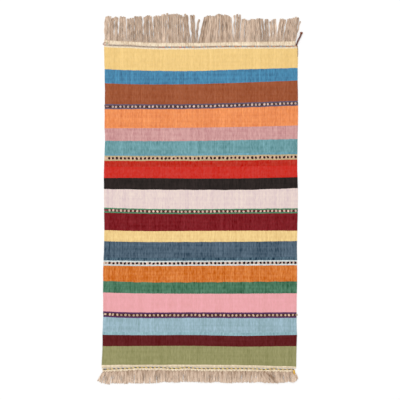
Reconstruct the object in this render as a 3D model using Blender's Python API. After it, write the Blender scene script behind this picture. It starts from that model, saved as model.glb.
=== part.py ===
# Striped kilim lying flat, its long fringe towards +Y and its short fringe towards -Y.
# Metres, Z up. The origin is in the middle of the woven panel's underside.

import math
from collections import namedtuple

import bmesh
import bpy
import numpy as np
from mathutils import Vector

MM = 0.001
JOIN_GAP = 0.35 * MM

# Woven panel
CLOTH_THICKNESS = 3.0 * MM
EDGE_ROUNDING = 0.8 * MM

# Twined cords across the two ends, pressed a little flat
TWINE_PITCH = 22.0 * MM
TWINE_FLATNESS = 0.75
TWINE_WAIST = 0.84
TOP_TWINE_WIDTH = 6.0 * MM
BOTTOM_TWINE_WIDTH = 6.6 * MM

# Bands that hold the fringes, and the fringe strands
TOP_BAND_DEPTH = 20.0 * MM
BOTTOM_BAND_DEPTH = 7.5 * MM
BAND_THICKNESS = 3.0 * MM
TOP_BAND_ENDS = (-496.5 * MM, 489.5 * MM)
BOTTOM_BAND_ENDS = (-505.5 * MM, 474.5 * MM)
STRAND_HEIGHT = 3.6 * MM
STRAND_FILL = 0.8
STRAND_CROWN = 0.72
OUTWARD_ENOUGH = 0.5  # how squarely a side face of the band looks outwards
STRAND_LOOK_BACK = 0.1  # share of the length that gives a strand its direction

# Free yarn end at the top right corner
LOOSE_END_DIAMETER = 6.4 * MM
KNOT_RADIUS = 4.8 * MM
KNOT_SEGMENTS = 12
KNOT_RINGS = 8

# Selvedges: place along the rug, then the left and the right edge, in mm
Selvedge = namedtuple("Selvedge", "along left right")
SELVEDGES = [
    Selvedge(-845, -508.0, 491.5),
    Selvedge(-814, -510.5, 493.0),
    Selvedge(-752, -506.0, 494.1),
    Selvedge(-660, -504.9, 496.6),
    Selvedge(-567, -501.8, 494.1),
    Selvedge(-350, -502.8, 498.2),
    Selvedge(-227, -498.2, 496.1),
    Selvedge(-134, -495.6, 498.2),
    Selvedge(52, -498.2, 501.8),
    Selvedge(175, -498.7, 498.2),
    Selvedge(330, -492.0, 499.2),
    Selvedge(453, -495.6, 502.8),
    Selvedge(639, -493.0, 500.3),
    Selvedge(701, -495.1, 500.8),
    Selvedge(824, -497.7, 501.8),
]

# The lines that the twined cords follow, bowed as the weave drew in, in mm
Bow = namedtuple("Bow", "across along")
TOP_LINE = [
    Bow(-498, 831.0),
    Bow(-456, 827.9),
    Bow(-364, 825.4),
    Bow(-286, 820.2),
    Bow(-209, 818.1),
    Bow(-3, 818.6),
    Bow(74, 820.7),
    Bow(152, 822.2),
    Bow(461, 822.2),
    Bow(490, 824.2),
]
BOTTOM_LINE = [
    Bow(-505, -840.8),
    Bow(-441, -837.2),
    Bow(-384, -835.7),
    Bow(-328, -831.5),
    Bow(-199, -831.5),
    Bow(-132, -835.7),
    Bow(-65, -831.5),
    Bow(-3, -836.2),
    Bow(275, -837.2),
    Bow(337, -840.8),
    Bow(378, -838.2),
    Bow(430, -840.8),
    Bow(472, -841.3),
]

# The bottom cord's short tail, turned down beside the end of the fringe band, in mm
BOTTOM_TAIL = [
    Bow(477, -841.8),
    Bow(480.4, -844.0),
    Bow(481.6, -848.0),
    Bow(481.2, -855.0),
    Bow(481.6, -862.0),
    Bow(482.4, -868.0),
]

# The free yarn end's route over the floor, from the corner to its knot, in mm
LOOSE_END_ROUTE = [
    Bow(493.4, 826.6),
    Bow(494.4, 830.6),
    Bow(495.5, 834.6),
    Bow(496.8, 838.8),
    Bow(498.3, 843.0),
    Bow(500.1, 847.2),
    Bow(502.1, 851.3),
    Bow(504.2, 855.3),
    Bow(506.3, 859.4),
    Bow(508.4, 863.5),
    Bow(510.4, 867.6),
    Bow(512.4, 871.7),
    Bow(514.3, 875.9),
    Bow(516.0, 880.1),
    Bow(517.3, 884.4),
]
KNOT_PLACE = Bow(518.9, 889.4)

# Fringe clumps from left to right. Roots and tips give where each clump starts and ends across
# the rug, reach how far along the rug its first and last tips lie, curl how late it turns
# sideways and bow how far it swings out halfway, all lengths in mm.
Clump = namedtuple(
    "Clump", "root_from root_to tip_from tip_to reach_from reach_to strands curl bow"
)
TOP_CLUMPS = [
    Clump(-492.5, -468.8, -491.5, -462.6, 976, 977, 3, 1.0, -5.0),
    Clump(-464.7, -427.6, -454.9, -427.6, 973, 976, 4, 1.0, -1.5),
    Clump(-423.5, -381.2, -413.7, -387.4, 977, 975, 4, 1.0, -1.0),
    Clump(-378.2, -346.2, -378.2, -344.2, 967, 973, 3, 1.0, -1.5),
    Clump(-336.9, -300.9, -339.0, -305.0, 978, 979, 4, 1.0, 1.0),
    Clump(-291.6, -243.2, -290.6, -254.5, 979, 980, 5, 1.0, 0.0),
    Clump(-234.9, -200.9, -242.1, -204.0, 978, 984, 4, 1.0, 0.0),
    Clump(-198.9, -185.5, -200.9, -182.4, 986, 990, 2, 1.0, 1.0),
    Clump(-178.3, -168.0, -179.3, -165.9, 991, 992, 1, 1.0, 1.0),
    Clump(-162.8, -140.1, -163.3, -139.1, 990, 991, 3, 1.0, -1.0),
    Clump(-132.9, -88.6, -135.0, -85.5, 990, 980, 5, 1.0, 1.0),
    Clump(-67.0, -50.5, -80.4, -67.0, 992, 984, 2, 1.0, 0.0),
    Clump(-45.3, -25.8, -54.6, -31.9, 983, 981, 2, 1.0, 1.0),
    Clump(-24.7, -15.5, -12.4, -3.6, 960, 962, 1, 2.6, 0.0),
    Clump(-9.3, 53.6, 20.6, 67.0, 978, 982, 7, 1.0, 0.0),
    Clump(54.6, 112.3, 68.0, 115.4, 983, 989, 6, 1.0, 0.0),
    Clump(113.3, 163.8, 116.4, 155.6, 989, 978, 6, 1.0, 0.0),
    Clump(172.1, 197.8, 171.0, 208.1, 984, 985, 3, 1.0, -1.0),
    Clump(200.9, 242.1, 213.3, 247.3, 966, 962, 4, 1.0, 0.0),
    Clump(244.2, 293.7, 249.4, 288.5, 962, 964, 5, 1.0, 0.5),
    Clump(297.8, 327.7, 290.6, 319.4, 967, 963, 3, 1.0, 0.5),
    Clump(335.9, 350.3, 331.8, 346.2, 963, 964, 2, 1.0, 0.5),
    Clump(355.5, 388.5, 356.5, 385.4, 954, 971, 4, 1.0, 2.0),
    Clump(393.6, 422.5, 410.1, 439.0, 964, 965, 3, 1.0, -2.0),
    Clump(427.6, 455.5, 449.2, 474.0, 965, 967, 3, 1.0, -1.5),
    Clump(457.5, 483.3, 477.1, 507.0, 970, 971, 3, 1.0, -1.0),
    Clump(484.8, 489.0, 511.4, 516.4, 950, 951, 1, 1.0, -0.5),
]
BOTTOM_CLUMPS = [
    Clump(-503.9, -488.4, -530.7, -507.9, -902, -913, 2, 1.2, 0.0),
    Clump(-486.3, -456.5, -505.9, -463.7, -915, -919, 4, 1.0, 0.0),
    Clump(-454.9, -375.0, -461.6, -376.0, -914, -916, 10, 1.0, 0.0),
    Clump(-372.5, -293.1, -374.5, -294.1, -912, -915, 10, 1.0, 0.5),
    Clump(-290.6, -200.1, -291.6, -201.1, -916, -910, 11, 1.0, -0.5),
    Clump(-197.8, -107.2, -198.8, -106.2, -907, -910, 11, 1.0, 0.5),
    Clump(-104.6, -24.7, -103.6, -22.7, -906, -907, 10, 1.0, 0.0),
    Clump(-22.2, 68.5, -19.6, 69.5, -908, -910, 11, 1.0, -0.5),
    Clump(70.6, 161.3, 72.1, 159.7, -907, -914, 11, 1.0, 0.5),
    Clump(163.3, 254.0, 161.8, 249.4, -910, -909, 11, 1.0, 0.0),
    Clump(256.1, 295.7, 251.4, 290.6, -912, -908, 5, 1.0, 0.0),
    Clump(297.8, 337.2, 293.7, 347.5, -907, -910, 5, 1.0, 0.0),
    Clump(338.5, 371.0, 350.3, 396.7, -912, -914, 4, 1.0, 0.0),
    Clump(373.0, 440.0, 398.8, 444.2, -911, -909, 8, 1.0, 0.0),
    Clump(441.5, 466.2, 446.2, 477.0, -908, -906, 3, 2.0, 0.0),
    Clump(468.0, 474.0, 486.0, 495.0, -900, -893, 1, 2.4, 0.0),
]

# Shares of a strand's length where its section is set, with its width and height there
Station = namedtuple("Station", "share width height")
TOP_STATIONS = [Station(0.42, 1.0, 1.0), Station(0.93, 1.0, 1.0), Station(1.0, 0.5, 0.65)]
BOTTOM_STATIONS = [Station(0.55, 1.0, 1.0), Station(1.0, 0.62, 0.7)]

Strand = namedtuple("Strand", "root tip root_pitch tip_pitch curl bow")


def make_material(name, colour, roughness):
    material = bpy.data.materials.new(name)
    material.use_nodes = True
    shader = material.node_tree.nodes["Principled BSDF"]
    shader.inputs["Base Color"].default_value = (*colour, 1.0)
    shader.inputs["Roughness"].default_value = roughness
    shader.inputs["Metallic"].default_value = 0.0
    return material


def add_to_rug(name, data, colour, roughness=0.9):
    piece = bpy.data.objects.new(name, data)
    data.materials.append(make_material(name, colour, roughness))
    rug.objects.link(piece)
    return piece


def along_at(line, across):
    """Place along the rug of a twined line, in metres, at a place across it in metres."""
    places = [bow.across for bow in line]
    heights = [bow.along for bow in line]
    return float(np.interp(across / MM, places, heights)) * MM


def selvedge_at(side, along):
    """Place across the rug of the left or right selvedge, in metres."""
    places = [row.along for row in SELVEDGES]
    edges = [getattr(row, side) for row in SELVEDGES]
    return float(np.interp(along / MM, places, edges)) * MM


def end_edge(line, inset):
    """The panel's edge beside a twined line, from left to right, with its two corners."""
    left = selvedge_at("left", line[0].along * MM)
    right = selvedge_at("right", line[-1].along * MM)
    inner = [bow.across * MM for bow in line if left < bow.across * MM - JOIN_GAP]
    places = [left] + [place for place in inner if place < right] + [right]
    return [(place, along_at(line, place) + inset) for place in places]


def build_cloth():
    top = end_edge(TOP_LINE, -(TOP_TWINE_WIDTH / 2 + JOIN_GAP))
    bottom = end_edge(BOTTOM_LINE, BOTTOM_TWINE_WIDTH / 2 + JOIN_GAP)
    right_side = [(row.right * MM, row.along * MM) for row in SELVEDGES[1:-1]]
    left_side = [(row.left * MM, row.along * MM) for row in SELVEDGES[1:-1]]
    outline = bottom + right_side + top[::-1] + left_side[::-1]

    shape = bpy.data.curves.new("cloth", "CURVE")
    shape.dimensions = "2D"
    shape.fill_mode = "BOTH"
    shape.extrude = CLOTH_THICKNESS / 2 - EDGE_ROUNDING
    shape.bevel_depth = EDGE_ROUNDING
    shape.bevel_resolution = 0
    shape.offset = -EDGE_ROUNDING
    edge = shape.splines.new("POLY")
    edge.points.add(len(outline) - 1)
    for point, (across, along) in zip(edge.points, outline):
        point.co = (across, along, 0.0, 1.0)
    edge.use_cyclic_u = True
    cloth = add_to_rug("cloth", shape, (0.42, 0.26, 0.16))
    cloth.location.z = CLOTH_THICKNESS / 2


def add_tube(name, route, diameter, colour, flatness=1.0, waist=1.0):
    """A yarn lying on the floor along a route of (across, along) points in metres."""
    shape = bpy.data.curves.new(name, "CURVE")
    shape.dimensions = "3D"
    shape.twist_mode = "Z_UP"
    shape.bevel_depth = diameter / 2
    shape.bevel_resolution = 2
    shape.use_fill_caps = True
    path = shape.splines.new("POLY")
    path.points.add(len(route) - 1)
    for index, (across, along) in enumerate(route):
        path.points[index].co = (across, along, 0.0, 1.0)
        path.points[index].radius = waist if index % 2 else 1.0
    tube = add_to_rug(name, shape, colour)
    tube.scale.z = flatness
    tube.location.z = diameter / 2 * flatness


def twined_route(line, tail):
    """Points half a twining pitch apart along a line, then the points of its tail."""
    start = line[0].across * MM
    end = line[-1].across * MM
    count = round((end - start) / (TWINE_PITCH / 2))
    places = [start + (end - start) * index / count for index in range(count + 1)]
    route = [(place, along_at(line, place)) for place in places]
    return route + [(bow.across * MM, bow.along * MM) for bow in tail]


def strands_of(clumps, line, outward, band_edge):
    """One strand after another from left to right, its root on the band's outer edge."""
    strands = []
    for clump in clumps:
        root_pitch = (clump.root_to - clump.root_from) / clump.strands * MM
        tip_pitch = (clump.tip_to - clump.tip_from) / clump.strands * MM
        for index in range(clump.strands):
            share = (index + 0.5) / clump.strands
            across = clump.root_from * MM + root_pitch * (index + 0.5)
            root = Vector((across, along_at(line, across) + outward * band_edge))
            reach = clump.reach_from + (clump.reach_to - clump.reach_from) * share
            tip = Vector((clump.tip_from * MM + tip_pitch * (index + 0.5), reach * MM))
            strands.append(
                Strand(root, tip, root_pitch, tip_pitch, clump.curl, clump.bow * MM)
            )
    return strands


def strand_centre(strand, share):
    across = strand.root.x + (strand.tip.x - strand.root.x) * share**strand.curl
    across += strand.bow * math.sin(math.pi * share)
    along = strand.root.y + (strand.tip.y - strand.root.y) * share
    return Vector((across, along))


def set_section(face, strand, station):
    """Move a strand's newest face to its section, level on the floor."""
    centre = strand_centre(strand, station.share)
    run = centre - strand_centre(strand, station.share - STRAND_LOOK_BACK)
    across = Vector((abs(run.y), -run.x * math.copysign(1.0, run.y))).normalized()
    pitch = strand.root_pitch + (strand.tip_pitch - strand.root_pitch) * station.share
    half_width = pitch * STRAND_FILL * station.width / 2
    by_side = sorted(face.verts, key=lambda vert: vert.co.x)
    for side, pair in ((-1, by_side[:2]), (1, by_side[2:])):
        low, high = sorted(pair, key=lambda vert: vert.co.z)
        edge = centre + across * half_width * side
        crown = centre + across * half_width * STRAND_CROWN * side
        low.co = (edge.x, edge.y, 0.0)
        high.co = (crown.x, crown.y, STRAND_HEIGHT * station.height)


def build_fringe(name, clumps, line, outward, twine_width, depth, ends, stations, colour):
    """A flat band beside a twined line, with every strand grown out of its outer edge."""
    inner = twine_width / 2 + JOIN_GAP
    strands = strands_of(clumps, line, outward, inner + depth)
    places = [ends[0]]
    for strand in strands:
        half = strand.root_pitch * STRAND_FILL / 2
        places += [strand.root.x - half, strand.root.x + half]
    places.append(ends[1])

    bm = bmesh.new()
    bmesh.ops.create_grid(bm, x_segments=len(places) - 1, y_segments=1, size=0.5)
    inner_edge = [vert for vert in bm.verts if vert.co.y < 0]
    outer_edge = [vert for vert in bm.verts if vert.co.y > 0]
    for edge, offset in ((inner_edge, inner), (outer_edge, inner + depth)):
        for vert, place in zip(sorted(edge, key=lambda v: v.co.x), places):
            vert.co.x = place
            vert.co.y = along_at(line, place) + outward * offset
    floor_side = bm.faces[:]
    raised = bmesh.ops.extrude_face_region(bm, geom=floor_side, use_keep_orig=True)["geom"]
    raised_verts = [item for item in raised if isinstance(item, bmesh.types.BMVert)]
    bmesh.ops.translate(bm, vec=(0.0, 0.0, BAND_THICKNESS), verts=raised_verts)
    bmesh.ops.recalc_face_normals(bm, faces=bm.faces[:])
    bm.normal_update()

    outer = [face for face in bm.faces if face.normal.y * outward > OUTWARD_ENOUGH]
    outer.sort(key=lambda face: face.calc_center_median().x)
    tips = outer[1::2]
    for station in stations:
        grown = bmesh.ops.extrude_discrete_faces(bm, faces=tips)["faces"]
        tips = sorted(grown, key=lambda face: face.calc_center_median().x)
        for face, strand in zip(tips, strands):
            set_section(face, strand, station)
    bmesh.ops.recalc_face_normals(bm, faces=bm.faces[:])
    mesh = bpy.data.meshes.new(name)
    bm.to_mesh(mesh)
    bm.free()
    add_to_rug(name, mesh, colour)


def build_knot():
    bm = bmesh.new()
    bmesh.ops.create_uvsphere(
        bm, u_segments=KNOT_SEGMENTS, v_segments=KNOT_RINGS, radius=KNOT_RADIUS
    )
    mesh = bpy.data.meshes.new("loose_end_knot")
    bm.to_mesh(mesh)
    bm.free()
    mesh.shade_smooth()
    knot = add_to_rug("loose_end_knot", mesh, (0.12, 0.05, 0.03))
    knot.location = (KNOT_PLACE.across * MM, KNOT_PLACE.along * MM, KNOT_RADIUS)


for old in list(bpy.data.objects):
    bpy.data.objects.remove(old, do_unlink=True)
rug = bpy.data.collections.new("Kilim")
bpy.context.scene.collection.children.link(rug)

build_cloth()
add_tube(
    "twining_top",
    twined_route(TOP_LINE, []),
    TOP_TWINE_WIDTH,
    (0.30, 0.22, 0.16),
    flatness=TWINE_FLATNESS,
    waist=TWINE_WAIST,
)
add_tube(
    "twining_bottom",
    twined_route(BOTTOM_LINE, BOTTOM_TAIL),
    BOTTOM_TWINE_WIDTH,
    (0.35, 0.24, 0.07),
    flatness=TWINE_FLATNESS,
    waist=TWINE_WAIST,
)
build_fringe(
    "fringe_top",
    TOP_CLUMPS,
    TOP_LINE,
    1,
    TOP_TWINE_WIDTH,
    TOP_BAND_DEPTH,
    TOP_BAND_ENDS,
    TOP_STATIONS,
    (0.47, 0.34, 0.26),
)
build_fringe(
    "fringe_bottom",
    BOTTOM_CLUMPS,
    BOTTOM_LINE,
    -1,
    BOTTOM_TWINE_WIDTH,
    BOTTOM_BAND_DEPTH,
    BOTTOM_BAND_ENDS,
    BOTTOM_STATIONS,
    (0.50, 0.37, 0.28),
)
add_tube(
    "loose_end",
    [(bow.across * MM, bow.along * MM) for bow in LOOSE_END_ROUTE],
    LOOSE_END_DIAMETER,
    (0.10, 0.05, 0.035),
)
build_knot()
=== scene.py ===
import math

import bpy
import numpy as np
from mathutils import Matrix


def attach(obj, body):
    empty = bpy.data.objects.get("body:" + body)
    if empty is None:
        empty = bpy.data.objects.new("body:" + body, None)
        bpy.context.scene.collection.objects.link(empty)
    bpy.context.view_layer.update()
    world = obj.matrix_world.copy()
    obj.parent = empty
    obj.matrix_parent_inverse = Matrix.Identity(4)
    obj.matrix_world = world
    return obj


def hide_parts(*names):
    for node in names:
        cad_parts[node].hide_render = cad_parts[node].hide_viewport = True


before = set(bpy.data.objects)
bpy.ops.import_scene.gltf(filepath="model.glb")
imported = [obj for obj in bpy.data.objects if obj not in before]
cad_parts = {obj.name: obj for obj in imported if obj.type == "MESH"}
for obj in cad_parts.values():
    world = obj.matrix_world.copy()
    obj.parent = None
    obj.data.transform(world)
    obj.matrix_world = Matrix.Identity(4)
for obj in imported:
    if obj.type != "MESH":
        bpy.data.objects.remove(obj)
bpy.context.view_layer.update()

scene = bpy.context.scene
mm = 0.001
print("kilim: frame loaded")


def deselectAll():
    bpy.ops.object.select_all(action="DESELECT")


def editAll(piece):
    # edit mode on one piece with everything in it selected
    deselectAll()
    piece.select_set(True)
    bpy.context.view_layer.objects.active = piece
    bpy.ops.object.mode_set(mode="EDIT")
    bpy.ops.mesh.select_all(action="SELECT")


def readPoints(mesh):
    points = np.empty(len(mesh.vertices) * 3)
    mesh.vertices.foreach_get("co", points)
    return points.reshape(-1, 3)


def writePoints(mesh, points):
    mesh.vertices.foreach_set("co", np.ascontiguousarray(points, dtype=np.float32).ravel())
    mesh.update()


def setWeave(mesh, cells):
    # place of every point in the weave, counted in ribs across and in metres along
    layer = mesh.attributes.new("weave", "FLOAT_VECTOR", "POINT")
    layer.data.foreach_set("vector", cells.astype(np.float32).ravel())


def joinPieces(name, parts):
    deselectAll()
    for part in parts:
        part.select_set(True)
    bpy.context.view_layer.objects.active = parts[0]
    if len(parts) > 1:
        bpy.ops.object.join()
    joined = bpy.context.object
    joined.name = name
    return joined


# Camera straight above the rug, as in the photograph

view = {"lens": 85.0, "sensor": 36.0, "place": (-0.0031, 0.0309, 4.869)}

deselectAll()
bpy.ops.object.camera_add(location=view["place"], rotation=(0.0, 0.0, 0.0))
camera = bpy.context.object
camera.data.lens = view["lens"]
camera.data.sensor_width = view["sensor"]
camera.data.clip_end = 60.0
scene.camera = camera

# Pale studio: even light from all round and one big soft lamp up on the left

studio = {
    "skyStrength": 0.83,
    "lampPower": 146.0,
    "lampSize": 3.0,
    "lampPlace": (-1.3, 1.2, 6.8),
    "floorSize": 16.0,
    "floorColour": (0.95, 0.95, 0.95, 1.0),
    "floorLighter": (0.96, 0.96, 0.96, 1.0),
    "floorClouds": 3.0,
}

world = bpy.data.worlds.new("studio")
world.use_nodes = True
world.node_tree.nodes["Background"].inputs["Color"].default_value = (1.0, 1.0, 1.0, 1.0)
world.node_tree.nodes["Background"].inputs["Strength"].default_value = studio["skyStrength"]
scene.world = world
scene.view_settings.view_transform = "Standard"

x, y, z = studio["lampPlace"]
lampTilt = (math.atan2(math.hypot(x, y), z), 0.0, math.atan2(y, x) + math.pi / 2)
bpy.ops.object.light_add(type="AREA", location=studio["lampPlace"], rotation=lampTilt)
lamp = bpy.context.object
lamp.data.energy = studio["lampPower"]
lamp.data.size = studio["lampSize"]

# Node helpers


def addNode(tree, kind, inputs, **settings):
    made = tree.nodes.new("ShaderNode" + kind)
    for key, value in settings.items():
        setattr(made, key, value)
    for key, value in inputs.items():
        if isinstance(value, bpy.types.NodeSocket):
            tree.links.new(value, made.inputs[key])
        else:
            made.inputs[key].default_value = value
    return made


def maths(tree, operation, *values):
    return addNode(tree, "Math", dict(enumerate(values)), operation=operation).outputs[0]


def mixColours(tree, share, first, second):
    mixed = addNode(tree, "Mix", {0: share, 6: first, 7: second}, data_type="RGBA",
                    clamp_factor=False)
    return mixed.outputs[2]


def noise(tree, vector, scale, detail=2.0, gain=1.0):
    # noise spread about a half, wider with more gain
    made = addNode(tree, "TexNoise", {"Vector": vector, "Scale": scale, "Detail": detail})
    return maths(tree, "MULTIPLY_ADD", made.outputs[0], gain, 0.5 - 0.5 * gain)


def scaled(tree, colour, share):
    return addNode(tree, "VectorMath", {0: colour, "Scale": share}, operation="SCALE").outputs[0]


def vectorOf(tree, *parts):
    return addNode(tree, "CombineXYZ", dict(enumerate(parts))).outputs[0]


def splitVector(tree, vector):
    return addNode(tree, "SeparateXYZ", {0: vector}).outputs


def attributeOf(tree, name, output="Color"):
    return addNode(tree, "Attribute", {}, attribute_name=name).outputs[output]


def objectPlace(tree):
    return addNode(tree, "TexCoord", {}).outputs["Object"]


def addShares(tree, start, *pairs):
    # a start plus each value times its share
    for value, share in pairs:
        start = maths(tree, "MULTIPLY_ADD", value, share, start)
    return start


def newMaterial(name, roughness, sheen):
    material = bpy.data.materials.new(name)
    material.use_nodes = True
    shader = material.node_tree.nodes["Principled BSDF"]
    shader.inputs["Roughness"].default_value = roughness
    shader.inputs["Specular IOR Level"].default_value = 0.08
    shader.inputs["Sheen Weight"].default_value = sheen
    shader.inputs["Sheen Roughness"].default_value = 0.6
    return material, material.node_tree, shader


def addBump(tree, shader, height, strength, distance):
    bump = addNode(tree, "Bump", {"Height": height, "Strength": strength, "Distance": distance})
    tree.links.new(bump.outputs[0], shader.inputs["Normal"])


def dye(red, green, blue):
    # a dye given in screen values, as the linear colour that shaders work in
    parts = [part / 255 for part in (red, green, blue)]
    return [p / 12.92 if p < 0.04045 else ((p + 0.055) / 1.055) ** 2.4 for p in parts] + [1.0]


def setFaceDyes(mesh, darks, lights, seeds):
    for name, values in (("dyeDark", darks), ("dyeLight", lights)):
        layer = mesh.attributes.new(name, "FLOAT_COLOR", "FACE")
        layer.data.foreach_set("color", np.asarray(values, dtype=np.float32).ravel())
    layer = mesh.attributes.new("streakSeed", "FLOAT", "FACE")
    layer.data.foreach_set("value", np.asarray(seeds, dtype=np.float32))


# Floor

deselectAll()
bpy.ops.mesh.primitive_plane_add(size=studio["floorSize"], location=(0.0, 0.0, -0.0002))
floor = bpy.context.object
floor.name = "studio_floor"
floorMaterial, tree, shader = newMaterial("pale_floor", 0.85, 0.0)
cloud = noise(tree, objectPlace(tree), studio["floorClouds"])
paleFloor = mixColours(tree, cloud, studio["floorColour"], studio["floorLighter"])
tree.links.new(paleFloor, shader.inputs["Base Color"])
floor.data.materials.append(floorMaterial)
print("kilim: camera, light and floor ready")

# The rug's outline: place along it, then its left and right selvedge

selvedges = np.array([
    (-845, -508.0, 491.5), (-814, -510.5, 493.0), (-752, -506.0, 494.1),
    (-660, -504.9, 496.6), (-567, -501.8, 494.1), (-350, -502.8, 498.2),
    (-227, -498.2, 496.1), (-134, -495.6, 498.2), (52, -498.2, 501.8),
    (175, -498.7, 498.2), (330, -492.0, 499.2), (453, -495.6, 502.8),
    (639, -493.0, 500.3), (701, -495.1, 500.8), (824, -497.7, 501.8),
]) * mm

# The lines of the two twined cords, as place across and place along
topLine = np.array([
    (-498, 831.0), (-456, 827.9), (-364, 825.4), (-286, 820.2), (-209, 818.1),
    (-3, 818.6), (74, 820.7), (152, 822.2), (461, 822.2), (490, 824.2),
]) * mm
bottomLine = np.array([
    (-505, -840.8), (-441, -837.2), (-384, -835.7), (-328, -831.5), (-199, -831.5),
    (-132, -835.7), (-65, -831.5), (-3, -836.2), (275, -837.2), (337, -840.8),
    (378, -838.2), (430, -840.8), (472, -841.3),
]) * mm


def lineAt(line, across):
    return np.interp(across, line[:, 0], line[:, 1])


# Woven panels: ribs run along the rug over its warps, and the wefts lie across them

ribValues = {
    "count": 192,
    "unevenness": 0.13,  # spread of rib widths
    "edgeNarrowing": 0.12,  # ribs are this much narrower at the selvedges
    "shoulders": (0.28, 0.72),
    "crestHeight": 3.0 * mm,
    "valleyDepth": 0.65 * mm,
    "valleyUnder": 0.8,  # share of the valley's depth on the underside
    "edgeHeight": 1.5 * mm,
    "edgeWall": 0.5 * mm,
    "endSlope": 0.5 * mm,
    "roughen": 0.12 * mm,
    "lock": 0.3 * mm,  # wefts of two colours lock over alternate ribs
    "rowJitter": 0.25 * mm,
    "edgeJitter": 0.45 * mm,
    "outerRib": 1.25,  # the selvedge ribs are this much wider
}

ribRandom = np.random.default_rng(41)
places = np.linspace(-1.0, 1.0, ribValues["count"])
ribWidths = 1.0 - ribValues["edgeNarrowing"] * places**4
ribWidths *= 1.0 + ribValues["unevenness"] * ribRandom.uniform(-1.0, 1.0, ribValues["count"])
ribWidths[[0, -1]] *= ribValues["outerRib"]
ribEdges = np.concatenate(([0.0], np.cumsum(ribWidths))) / ribWidths.sum()


def ribShare(ribPlace):
    # share of the width at a place counted in ribs
    return np.interp(ribPlace, np.arange(ribValues["count"] + 1), ribEdges)


def weavePanel(name, rows, place, raised, seed):
    # a ribbed closed sheet: rows are places along it, place turns share and row into points
    count = ribValues["count"]
    deselectAll()
    bpy.ops.mesh.primitive_grid_add(x_subdivisions=count * 3, y_subdivisions=len(rows) - 1, size=2)
    panel = bpy.context.object
    editAll(panel)
    bpy.ops.mesh.extrude_region_move(TRANSFORM_OT_translate={"value": (0.0, 0.0, -1.0)})
    bpy.ops.mesh.select_all(action="SELECT")
    bpy.ops.mesh.normals_make_consistent(inside=False)
    bpy.ops.object.mode_set(mode="OBJECT")

    points = readPoints(panel.data)
    column = np.rint((points[:, 0] + 1) / 2 * count * 3).astype(int)
    row = np.rint((points[:, 1] + 1) / 2 * (len(rows) - 1)).astype(int)
    upper = points[:, 2] > -0.5
    within = np.array([0.0, *ribValues["shoulders"]])[column % 3]
    ribPlace = column // 3 + within
    nominal = np.asarray(rows)[row]
    random = np.random.default_rng(seed)
    across, along = place(ribShare(ribPlace), nominal)

    # every row is a little uneven
    inner = (row > 0) & (row < len(rows) - 1)
    lock = np.where((column // 3) % 2 == 0, ribValues["lock"], -ribValues["lock"]) * (within > 0)
    rowJitter = random.normal(0.0, ribValues["rowJitter"], (len(rows), count + 1))
    along = along + np.where(inner, lock + rowJitter[row, column // 3], 0.0)
    edgeJitter = random.normal(0.0, ribValues["edgeJitter"], (len(rows), 2))
    across = across + np.where(column == 0, edgeJitter[row, 0], 0.0)
    across = across + np.where(column == count * 3, edgeJitter[row, 1], 0.0)

    valley = (within == 0) * ribValues["valleyDepth"]
    sideEdge = (column == 0) | (column == count * 3)
    endEdge = ~inner
    lump = random.uniform(-1.0, 1.0, (len(rows), count + 1))[row, column // 3]
    top = ribValues["crestHeight"] - valley + np.asarray(raised)[row] + lump * ribValues["roughen"]
    below = valley * ribValues["valleyUnder"]
    middle, wall, slope = ribValues["edgeHeight"], ribValues["edgeWall"], ribValues["endSlope"]
    top = np.where(sideEdge, middle + wall, np.where(endEdge, top - slope, top))
    below = np.where(sideEdge, middle - wall, np.where(endEdge, below + slope, below))
    points = np.column_stack((across, along, np.where(upper, top, below)))
    writePoints(panel.data, points)

    setWeave(panel.data, np.column_stack((ribPlace, nominal, np.zeros(len(nominal)))))
    corners = np.empty(len(panel.data.polygons) * 4, dtype=np.int32)
    panel.data.polygons.foreach_get("vertices", corners)
    faceRow = np.floor(row[corners].reshape(-1, 4).mean(axis=1)).astype(int)
    panel.data.shade_smooth()
    panel.name = name
    return panel, np.clip(faceRow, 0, len(rows) - 2)


# Woven wool: streaks along the warps, tones from weft to weft, stitches on every rib

woolValues = {
    "pickPitch": 2.6 * mm,
    "pickJitter": 0.3,
    # tones of the wool: scale, detail, spread and share of each noise
    "coarseStreaks": (25.0, 2.0, 2.4, 0.30),
    "fineStreaks": (84.0, 1.0, 2.0, 0.50),
    "dashes": (150.0, 2.0, 2.2, 0.90),
    "weftTones": (85.0, 2.0, 1.6, 0.55),
    "ribTones": 0.30,
    "toneSpread": 1.6,
    "toneShift": -1.54,
    # how slowly the noise changes along streaks, dashes and wefts
    "streakRate": 0.05,
    "dashRate": 0.28,
    "weftRate": 0.04,
    "hueScale": 150.0,
    "hueSpread": 0.007,
    "depthScale": 90.0,
    "depthSpread": 0.08,
    "fibreScale": 900.0,
    "fibreShare": 0.25,
    "stitchShare": 0.7,
    "ribShare": 0.3,
    "shadeSpread": 0.18,
    "shadeLow": 0.84,
    "roughness": 0.95,
    "sheen": 0.01,
    "bumpStrength": 0.7,
    "bumpDistance": 0.5 * mm,
}


def narrowed(tree, value, spread, middle):
    # a value from 0 to 1 brought to a narrow spread about a middle
    return maths(tree, "MULTIPLY_ADD", value, spread, middle - spread / 2)


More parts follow.
